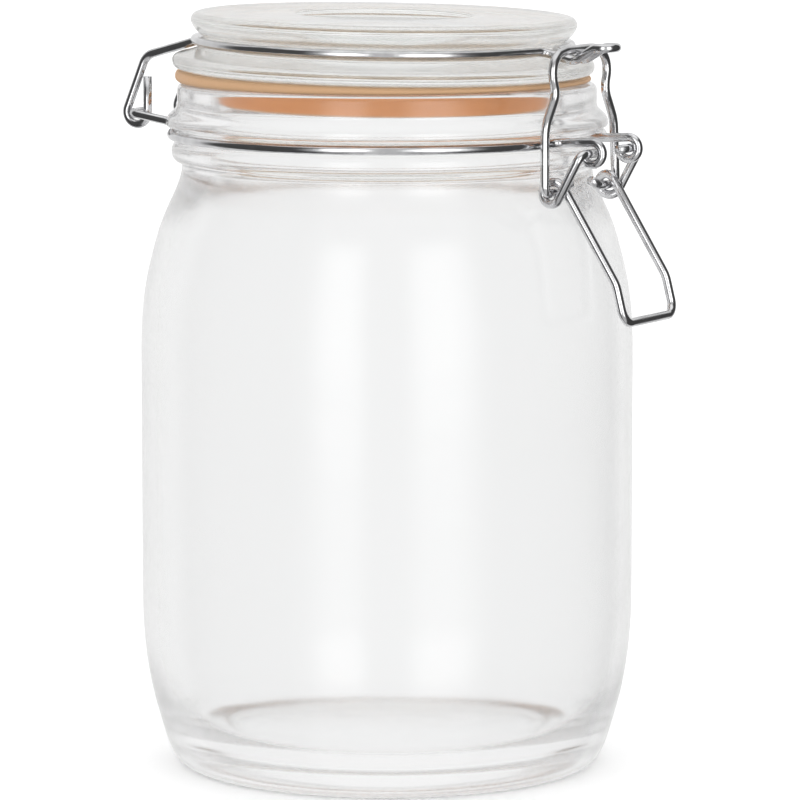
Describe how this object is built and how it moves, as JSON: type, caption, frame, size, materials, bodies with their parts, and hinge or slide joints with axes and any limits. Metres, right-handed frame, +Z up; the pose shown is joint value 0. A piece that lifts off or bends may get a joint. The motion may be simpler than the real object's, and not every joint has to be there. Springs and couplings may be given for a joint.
{
  "type": "clip top jar",
  "caption": "Round glass storage jar with a hinged glass lid on a rubber seal, held shut by a bright wire bail clip with a looped lever.",
  "frame": {"origin": "middle of the flat base, on the floor", "axes": "+Z up along the jar's axis, -Y towards the clip, +Y towards the lid's hinge, X across"},
  "size_m": [0.11, 0.1298, 0.1689],
  "materials": {
    "jar_glass": "clear, smooth",
    "lid_glass": "clear, pressed",
    "seal_rubber": "matt natural orange",
    "wire": "bright drawn wire"
  },
  "bodies": {
    "jar": {"jar": "jar_glass", "neck_wire": "wire"},
    "lid": {"lid": "lid_glass", "seal": "seal_rubber", "lid_wire": "wire"},
    "lever": {"lever": "wire"},
    "link": {"link": "wire"}
  },
  "joints": [
    {"name": "lid_hinge", "type": "hinge", "parent": "jar", "child": "lid", "pos_m": [0, 0.0592, 0.1448], "axis": [-1, 0, 0], "range_deg": [0, 110]},
    {"name": "lever_pivot", "type": "hinge", "parent": "jar", "child": "lever", "pos_m": [0, -0.0563, 0.1399], "axis": [-1, 0, 0], "range_deg": [0, 105], "deforming": ["link"]},
    {"name": "link_pivot", "type": "hinge", "parent": "lever", "child": "link", "pos_m": [0, -0.0489, 0.1313], "axis": [-1, 0, 0], "range_deg": [-130, 0]}
  ],
  "couplings": [
    {"joint": "link_pivot", "follows": "lever_pivot", "ratio": -1.2}
  ]
}
